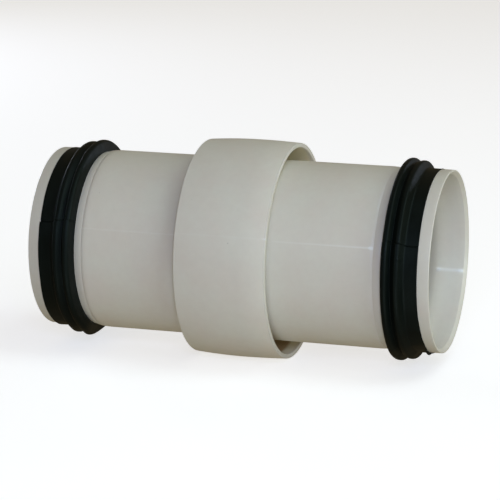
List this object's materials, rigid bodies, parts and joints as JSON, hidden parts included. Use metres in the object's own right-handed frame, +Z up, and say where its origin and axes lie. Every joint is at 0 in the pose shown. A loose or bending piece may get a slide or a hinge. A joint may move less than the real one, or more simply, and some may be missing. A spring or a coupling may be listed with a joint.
{
  "type": "push fit coupling",
  "caption": "Push fit pipe coupling: a plastic tube with a rubber lip seal near each end and an open-sided collar round its middle that hoods the ends of the joined pipes.",
  "frame": {"origin": "middle of the coupling, on its axis", "axes": "+X along the axis towards the right spigot, +Z up as the coupling lies on its side"},
  "size_m": [0.2282, 0.1224, 0.1224],
  "materials": {
    "body_plastic": "satin moulded off-white plastic",
    "seal_rubber": "black moulded rubber, dull sheen"
  },
  "bodies": {
    "root": {"coupling_body": "body_plastic", "left_seal": "seal_rubber", "right_seal": "seal_rubber"}
  },
  "joints": []
}
